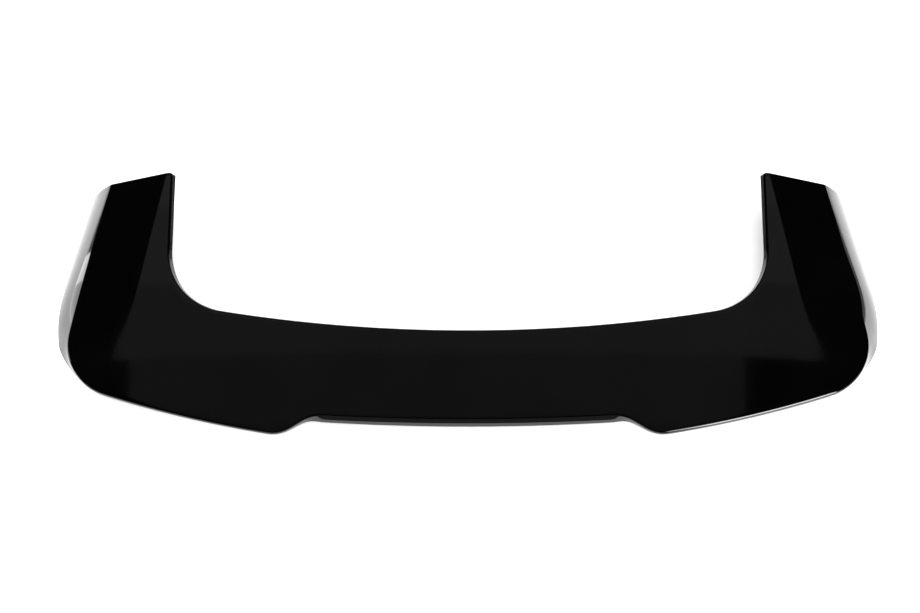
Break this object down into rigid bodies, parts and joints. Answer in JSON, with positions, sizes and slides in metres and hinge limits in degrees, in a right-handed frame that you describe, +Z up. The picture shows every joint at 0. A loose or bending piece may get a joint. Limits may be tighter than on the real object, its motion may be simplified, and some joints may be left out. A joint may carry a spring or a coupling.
{
  "type": "rear spoiler",
  "caption": "Gloss black rear spoiler cap: a thin U-shaped shell with a wide rear bar, forward arms, sloped side walls and a stepped trailing edge, open underneath.",
  "frame": {"origin": "on the ground under the middle of the part's box", "axes": "+X to the right across the car, +Y forward along the arms, +Z up; the rim lies on z = 0"},
  "size_m": [1.1567, 0.3876, 0.0703],
  "materials": {
    "gloss_black": "high gloss"
  },
  "bodies": {
    "root": {"spoiler_shell": "gloss_black"}
  },
  "joints": []
}
